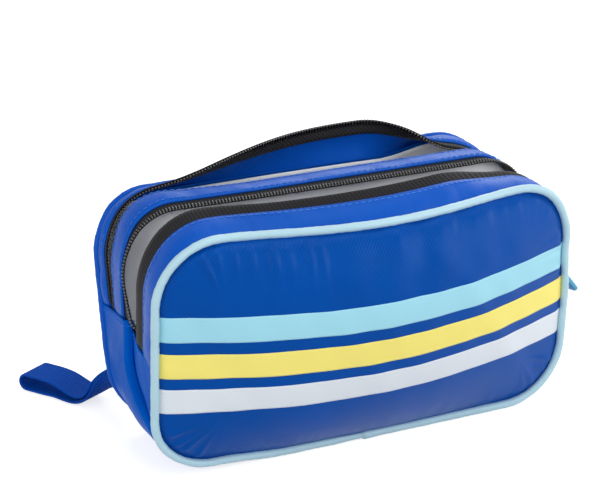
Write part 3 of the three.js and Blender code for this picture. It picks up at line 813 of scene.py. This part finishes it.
def base_wall():
    """The cloth, rolled in at the crease and puffed out at the sides, and the stitches of its hems."""
    s = WALL
    upright = np.abs(s["nx"])[:, None] ** 2
    front = crease(s["z"])[:, None]
    rear = (BASE_DEPTH / 2 - 1.2 + s["z"] * math.tan(math.radians(REAR["lean"])))[:, None]
    t = (np.linspace(0, 1, 40) ** 1.3)[None, :]
    y = front + (rear - front) * t
    bend_radius = 3.2
    past = np.minimum((y - front) / bend_radius, 1)
    roll = bend_radius * (1 - np.sqrt(1 - (1 - past) ** 2)) * upright * step(s["z"], 6, 34)[:, None]
    fold = ripple(y + 0.25 * s["z"][:, None], 61, 38.0) * 0.45 * np.sin(math.pi * t)
    flat = 1 - 0.75 * step(s["z"], 42, 58)[:, None]
    puff = -0.9 - (1.3 * np.sin(math.pi * t) ** 0.8 + fold) * flat
    inward = roll + puff * upright
    slope = (-0.095 * (y - 7) * step(s["z"], 34, 58)[:, None])[..., None] * UP
    outer = on_base(s, y, inward) + slope
    inner = on_base(s, y, inward + FABRIC) + slope
    wall = mesh_of("base_wall", *shell(outer, inner), lit_blue_wall)
    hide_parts("base_gusset", "rear_gore_left", "rear_gore_right")
    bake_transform(wall)
    rows = []
    for seam, way in ((outer[-2], -1.0), (outer[1], 1.0)):
        out = np.array([way, 0, 0])
        rows.append(thread(seam + 0.05 * out - UP, seam * 0 + out, SEAM_PITCH, SEAM_STITCH))
    sewn = mesh_of("wall_stitches", *many(rows), blue_thread)
    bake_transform(sewn)


def base_lining():
    s = CRADLE
    edge = BASE_DEPTH / 2 - BASE_INSET
    y = np.linspace(-edge, edge, 14)[None, :] + (s["z"] * BASE_FLARE)[:, None]
    depth = LINING_DEPTH + 2.0 * step(s["z"], 20, 45)[:, None] + 0 * y
    lining = shell(on_base(s, y, depth), on_base(s, y, depth + LINING))
    piece = mesh_of("base_inner_lining", *lining, silver_lining)
    dress(piece, "core", "silver_lining", "base_lining")


def base_pad():
    x, v = np.meshgrid(np.linspace(-STRAIGHT, STRAIGHT, 60), np.linspace(-1, 1, 20), indexing="ij")
    depth = BASE_DEPTH / 2 - BASE_INSET
    soft = np.minimum(1, np.minimum((1 - np.abs(v)) * 6, (STRAIGHT - np.abs(x)) / 4)) ** 0.5
    top = np.stack([x, v * depth, 1.8 + 2.6 * soft], -1)
    bottom = np.stack([x, v * depth, 1.7 - 0.1 * soft], -1)
    pad = mesh_of("base_pad", *shell(top, bottom), grey_foam)
    dress(pad, "core", "grey_foam", "base_foam")


base_wall()
base_lining()
base_pad()


# Front gores: the cloth at the sides, which fans out when the real front cover opens; here it is fixed in
# place
GORE_TAIL = 13.0
GORE_CLOTH = 0.7


def gore(side, wall):
    """Sewn to the front panel's edge and tucked in behind the fold of the side wall."""
    keep = (np.sign(CRADLE["x"]) == wall) & (np.abs(CRADLE["x"]) > STRAIGHT - 1)
    s = {k: v[keep] for k, v in CRADLE.items()}
    if wall > 0:
        s = {k: v[::-1] for k, v in s.items()}
    height = s["z"][:, None]
    lean = math.tan(math.radians(FRONT["lean"]))
    front = -BASE_DEPTH / 2 + 1.4 - height * lean
    behind = np.maximum(crease(s["z"])[:, None] + 5 + 6 * step(s["z"], 20, 55)[:, None], front + 8)
    kept = (np.minimum(behind, GORE_TAIL) - front) / (behind - front)
    t = np.linspace(0, 1, 24)[None, :] * kept
    y = front + (behind - front) * t
    upright = np.abs(s["nx"])[:, None] ** 2
    tuck = 0.2 + 2.6 * step(t, 0.35, 0.85) + ripple(y - 0.5 * height, 81, 34.0) * 0.35 * np.sin(math.pi * t)
    inward = 0.4 + tuck * upright
    slope = ((-6.9 + 0.203 * (y + 29.7)) * step(height, 25, ZIP_END))[..., None] * UP
    outer = on_base(s, y, inward) + slope
    inner = on_base(s, y, inward + GORE_CLOTH) + slope
    piece = mesh_of("front_" + side + "_gore", *shell(outer, inner), lit_blue_wall)
    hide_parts("front_gore_" + side)
    line = outer[-1] + np.array([wall * 0.05, 0, -1.2])
    row = thread(line, line * 0 + np.array([wall, 0, 0]), SEAM_PITCH, SEAM_STITCH)
    sewn = mesh_of(side + "_gore_stitches", *row, blue_thread)
    for part in (piece, sewn):
        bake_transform(part)


gore("left", -1)
gore("right", 1)


# Divider between the two compartments
def divider():
    """The divider's pad and the cloth on each side of it; it is narrower below its step."""
    low_inset, high_inset = 6.4, 1.9
    z = np.linspace(4.2, PANEL_HEIGHT + CROWN - 1.5, 60)
    low = np.maximum(CORNER_RADIUS - z, 0)
    high = np.maximum(z - HIGH_CENTRE, 0) * CORNER_RADIUS / (CORNER_RADIUS + CROWN)
    half = STRAIGHT + np.sqrt(np.maximum(0, CORNER_RADIUS**2 - np.maximum(low, high) ** 2))
    half = half - np.where(z < DIVIDER_STEP, low_inset, high_inset)
    half = np.where(z < DIVIDER_STEP, np.minimum(half, HALF - low_inset), half)
    u = np.linspace(-1, 1, 70)
    x = half[:, None] * u[None, :]
    zz = np.repeat(z[:, None], len(u), 1)
    soft = ripple(x + zz * 0.4, 71, 70.0) * 0.25
    for name, near, far, finish, slot, cad in (
        ("divider_pad", -1.5, 1.5, grey_foam, "grey_foam", "divider_foam"),
        ("divider_front_cloth", -2.3, -1.8, silver_lining, "silver_lining", "divider_front_lining"),
        ("divider_rear_cloth", 1.8, 2.3, silver_lining, "silver_lining", "divider_rear_lining"),
    ):
        front = from_middle(np.stack([x, near + soft, zz], -1))
        back = from_middle(np.stack([x, far + soft, zz], -1))
        piece = mesh_of(name, *shell(front, back), finish)
        dress(piece, "core", slot, cad)


divider()


# Zip pulls
TAG_TOP = -5.0
TAG_FOOT = -31.0
TAG_THICK = 1.5
TAG_NARROW = 2.7
TAG_WIDE = 4.8
TAG_LEAN = 36
TAG_X = 108.4
TAG_Z = 67.0
PULL_OFFSET = 10.5
METAL_EDGE = 0.00022


def pull_tag(prefix, y):
    """A moulded tag that flares to its foot, with rounded ends and grip ribs."""
    rows = np.linspace(0, 1, 40)
    half = TAG_NARROW + (TAG_WIDE - TAG_NARROW) * rows
    corner = np.clip((rows - 0.93) / 0.07, 0, 1)
    half = half - 1.5 * (1 - np.sqrt(1 - corner**2))
    head = np.clip((0.05 - rows) / 0.05, 0, 1)
    half = half - 0.9 * (1 - np.sqrt(1 - head**2))
    z = TAG_TOP + (TAG_FOOT - TAG_TOP) * rows
    turns = np.linspace(0, 2 * math.pi, 28, endpoint=False)
    ribs = 0.16 * np.sin(2 * math.pi * rows * 13) * ((rows > 0.35) & (rows < 0.9))
    end = np.minimum(1, np.minimum(rows, 1 - rows) / 0.035) ** 0.5
    c, s = np.cos(turns), np.sin(turns)
    rings = []
    for h, zz, rib, e in zip(half, z, ribs, end):
        round_y = np.sign(c) * np.abs(c) ** 0.35 * h
        round_x = np.sign(s) * np.abs(s) ** 0.6 * (TAG_THICK * max(e, 0.25) + rib * (np.abs(c) < 0.8))
        rings.append(np.stack([round_x, round_y, zz + 0 * c], -1))
    rings = np.array(rings)
    a = math.radians(TAG_LEAN)
    turned = np.stack([
        rings[..., 0] * math.cos(a) - rings[..., 2] * math.sin(a),
        rings[..., 1],
        rings[..., 0] * math.sin(a) + rings[..., 2] * math.cos(a),
    ], -1)
    placed = from_middle(turned + np.array([TAG_X, y, TAG_Z]))
    piece = mesh_of(prefix + "_moulded_tag", *tube(placed, False), pale_rubber)
    dress(piece, prefix + "_puller", "pale_rubber", prefix + "_pull_tag")


def metal_parts(prefix):
    """The slider and the link keep their solids, with softened edges."""
    for part in ("_zip_slider", "_pull_link"):
        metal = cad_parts[prefix + part]
        metal.data.materials.clear()
        metal.data.materials.append(black_metal)
        bevel = metal.modifiers.new("edges", "BEVEL")
        bevel.width = METAL_EDGE
        bevel.segments = 2
        bevel.limit_method = "ANGLE"


for prefix, side in (("front", -1), ("rear", 1)):
    pull_tag(prefix, side * PULL_OFFSET)
    metal_parts(prefix)


# Hand strap: one ribbed webbing folded into a loop that lies on the ground
STRAP_WIDTH = 18.0
STRAP_THICK = 1.4
STRAP_STEPS = 90
STRAP_GAP = 1.7
LEG_GAP = 0.4
LOOP_OPEN = 5.6
RIB = 0.17


def catmull(knots, times, values):
    """A smooth curve through the knots."""
    first = 2 * knots[0] - knots[1]
    last = 2 * knots[-1] - knots[-2]
    p = np.concatenate([[first], knots, [last]])
    gaps = np.diff(times)
    times = np.concatenate([[times[0] - gaps[0]], times, [times[-1] + gaps[-1]]])
    result = []
    for value in values:
        i = int(np.clip(np.searchsorted(times, value, side="right") - 1, 1, len(knots) - 1))
        t0, t1, t2, t3 = times[i - 1:i + 3]
        p0, p1, p2, p3 = p[i - 1:i + 3]
        a1 = (t1 - value) / (t1 - t0) * p0 + (value - t0) / (t1 - t0) * p1
        a2 = (t2 - value) / (t2 - t1) * p1 + (value - t1) / (t2 - t1) * p2
        a3 = (t3 - value) / (t3 - t2) * p2 + (value - t2) / (t3 - t2) * p3
        b1 = (t2 - value) / (t2 - t0) * a1 + (value - t0) / (t2 - t0) * a2
        b2 = (t3 - value) / (t3 - t1) * a2 + (value - t1) / (t3 - t1) * a3
        result.append((t2 - value) / (t2 - t1) * b1 + (value - t1) / (t2 - t1) * b2)
    return np.array(result)


def strap_knots():
    """Places that the strap passes, from its root on the rear panel to its fold on the ground."""
    lean = math.radians(REAR["lean"])
    root_x, root_z = -HALF + 13, 18.0
    out = float(swell(REAR, np.array(root_x), np.array(root_z))) + STRAP_GAP
    root = np.array([
        root_x,
        out * math.cos(lean) + root_z * math.sin(lean) + BASE_DEPTH / 2,
        -out * math.sin(lean) + root_z * math.cos(lean) + HINGE_HEIGHT,
    ])
    away = np.array([0, math.cos(lean), -math.sin(lean)])
    lying = 0.3 + 1.5 + LEG_GAP / 2
    return np.array([
        root - 0.6 * away,
        root + 4.5 * away,
        [-94, 57, 13],
        [-100, 70, lying + LOOP_OPEN / 4],
        [-108, 84.5, lying + LOOP_OPEN / 2],
        [-116, 98, lying + LOOP_OPEN / 2],
    ])


def strap_spine():
    """Evenly spaced points on the strap's middle line, and the line's length."""
    knots = strap_knots()
    times = np.concatenate([[0], np.cumsum(np.sqrt(np.linalg.norm(np.diff(knots, axis=0), axis=1)))])
    fine = catmull(knots, times, np.linspace(0, 1, 400) * times[-1])
    along = lengths_along(fine)
    return values_at(np.linspace(0, along[-1], STRAP_STEPS), along, fine), along[-1]


def strap():
    """The webbing stands on edge at its root, turns to lie flat and opens towards the fold."""
    spine, length = strap_spine()
    ahead = unit(np.gradient(spine, axis=0))
    flat = unit(np.cross(ahead, UP))
    normal = np.cross(flat, ahead)
    u = np.linspace(0, 1, STRAP_STEPS)
    turn = (1 - step(u, 0, 0.5)) * math.radians(90)
    wide = flat * np.cos(turn)[:, None] - normal * np.sin(turn)[:, None]
    up = np.cross(wide, ahead)
    spread = (STRAP_THICK + LEG_GAP + LOOP_OPEN * step(u, 0.45, 0.9)) / 2
    lower = [(spine[i] - up[i] * spread[i], wide[i], -up[i]) for i in range(STRAP_STEPS)]
    upper = [(spine[i] + up[i] * spread[i], wide[i], up[i]) for i in reversed(range(STRAP_STEPS))]
    fold = []
    for a in np.linspace(0, math.pi, 16)[1:-1]:
        out_way = -up[-1] * math.cos(a) + ahead[-1] * math.sin(a)
        fold.append((spine[-1] + out_way * spread[-1], wide[-1], out_way))
    v = np.linspace(-1, 1, 73)
    ribs = RIB * np.cos(2 * math.pi * v * 4.5)
    edge = np.sqrt(np.maximum(0.02, 1 - np.clip((np.abs(v) - 0.94) / 0.06, 0, 1) ** 2))
    half = (STRAP_THICK / 2 - RIB) * edge + ribs * edge
    outer, inner = [], []
    for p, w, n in [*lower, *fold, *upper]:
        outer.append(p + w * (v * STRAP_WIDTH / 2)[:, None] + n * half[:, None])
        inner.append(p + w * (v * STRAP_WIDTH / 2)[:, None] - n * half[:, None])
    piece = mesh_of("strap_webbing", *shell(np.array(outer), np.array(inner)), blue_webbing)
    dress(piece, "strap", "blue_webbing", "hand_strap")


strap()


# Studio: a white floor and background, a soft light from above and fills from the sides
FLOOR_HALF = 4
FLOOR_GREY = 0.68
FLOOR_GLOW = 0.72
WORLD_LIGHT = 0.32
WORLD_SEEN = 1.0


def area(name, place, target, size, power):
    """A rectangular light at a place, aimed at a target."""
    lamp = bpy.data.lights.new(name, "AREA")
    lamp.shape = "RECTANGLE"
    lamp.size, lamp.size_y = size
    lamp.energy = power
    holder = bpy.data.objects.new(name, lamp)
    holder.location = place
    holder.rotation_euler = (Vector(target) - Vector(place)).to_track_quat("-Z", "Y").to_euler()
    bpy.context.scene.collection.objects.link(holder)


area("overhead", (0.1, -0.3, 1.15), (0.0, 0.0, 0.06), (1.0, 0.4), 4.4)
area("left_fill", (-1.1, -0.5, 0.45), (0, 0, 0.06), (0.8, 0.8), 5.6)
area("front_fill", (-0.25, -1.3, 0.75), (0, 0, 0.06), (0.8, 0.6), 2.2)
area("right_soft", (0.9, -0.95, 0.5), (0, 0, 0.08), (0.5, 0.7), 6.0)
area("back_right", (0.68, 0.75, 0.79), (0.05, 0, 0.1), (0.6, 0.5), 4.2)
area("right_low", (1.1, 0.0, 0.2), (0.08, -0.03, 0.06), (0.5, 0.4), 2.8)


def seen_directly(tree):
    """1 for rays from the camera and for mirrored and refracted ones, otherwise 0."""
    rays = tree.nodes.new("ShaderNodeLightPath")
    found = rays.outputs["Is Camera Ray"]
    for kind in ("Is Glossy Ray", "Is Transmission Ray"):
        either = tree.nodes.new("ShaderNodeMath")
        either.operation = "MAXIMUM"
        tree.links.new(found, either.inputs[0])
        tree.links.new(rays.outputs[kind], either.inputs[1])
        found = either.outputs[0]
    return found


def floor():
    """A sheet that shades softly under the case and is seen as white."""
    mesh = bpy.data.meshes.new("studio_floor")
    corners = [(x * FLOOR_HALF, y * FLOOR_HALF, 0) for x, y in ((-1, -1), (1, -1), (1, 1), (-1, 1))]
    mesh.from_pydata(corners, [], [(0, 1, 2, 3)])
    sheet = bpy.data.objects.new("studio_floor", mesh)
    bpy.context.scene.collection.objects.link(sheet)
    made = bpy.data.materials.new("floor_paper")
    made.use_nodes = True
    tree = made.node_tree
    shader = tree.nodes["Principled BSDF"]
    shader.inputs["Base Color"].default_value = (FLOOR_GREY, FLOOR_GREY, FLOOR_GREY, 1)
    shader.inputs["Roughness"].default_value = 0.9
    glow = tree.nodes.new("ShaderNodeMath")
    glow.operation = "MULTIPLY"
    glow.inputs[1].default_value = FLOOR_GLOW
    tree.links.new(seen_directly(tree), glow.inputs[0])
    shader.inputs["Emission Color"].default_value = (1, 1, 1, 1)
    tree.links.new(glow.outputs[0], shader.inputs["Emission Strength"])
    mesh.materials.append(made)


floor()


def backdrop():
    """An even sky: dim as a light, white where it is seen."""
    world = bpy.data.worlds.new("studio")
    bpy.context.scene.world = world
    world.use_nodes = True
    tree = world.node_tree
    sky = tree.nodes["Background"]
    level = tree.nodes.new("ShaderNodeMapRange")
    level.inputs["To Min"].default_value = WORLD_LIGHT
    level.inputs["To Max"].default_value = WORLD_SEEN
    tree.links.new(seen_directly(tree), level.inputs["Value"])
    tree.links.new(level.outputs["Result"], sky.inputs["Strength"])
    sky.inputs["Color"].default_value = (1, 1, 1, 1)


backdrop()
bpy.context.scene.view_settings.view_transform = "Standard"

# Camera: the photograph's view
CAMERA_PLACE = (-0.399636, -0.768570, 0.403771)
CAMERA_AZIMUTH = -26.2872
CAMERA_ELEVATION = 20.0


def photo_view():
    camera = bpy.data.cameras.new("photo_view")
    camera.sensor_width = 36.0
    camera.lens = 120.0
    eye = bpy.data.objects.new("photo_view", camera)
    a, e = math.radians(CAMERA_AZIMUTH), math.radians(CAMERA_ELEVATION)
    back = Vector((math.sin(a) * math.cos(e), -math.cos(a) * math.cos(e), math.sin(e)))
    eye.rotation_euler = (-back).to_track_quat("-Z", "Y").to_euler()
    eye.location = CAMERA_PLACE
    bpy.context.scene.collection.objects.link(eye)
    bpy.context.scene.camera = eye


photo_view()
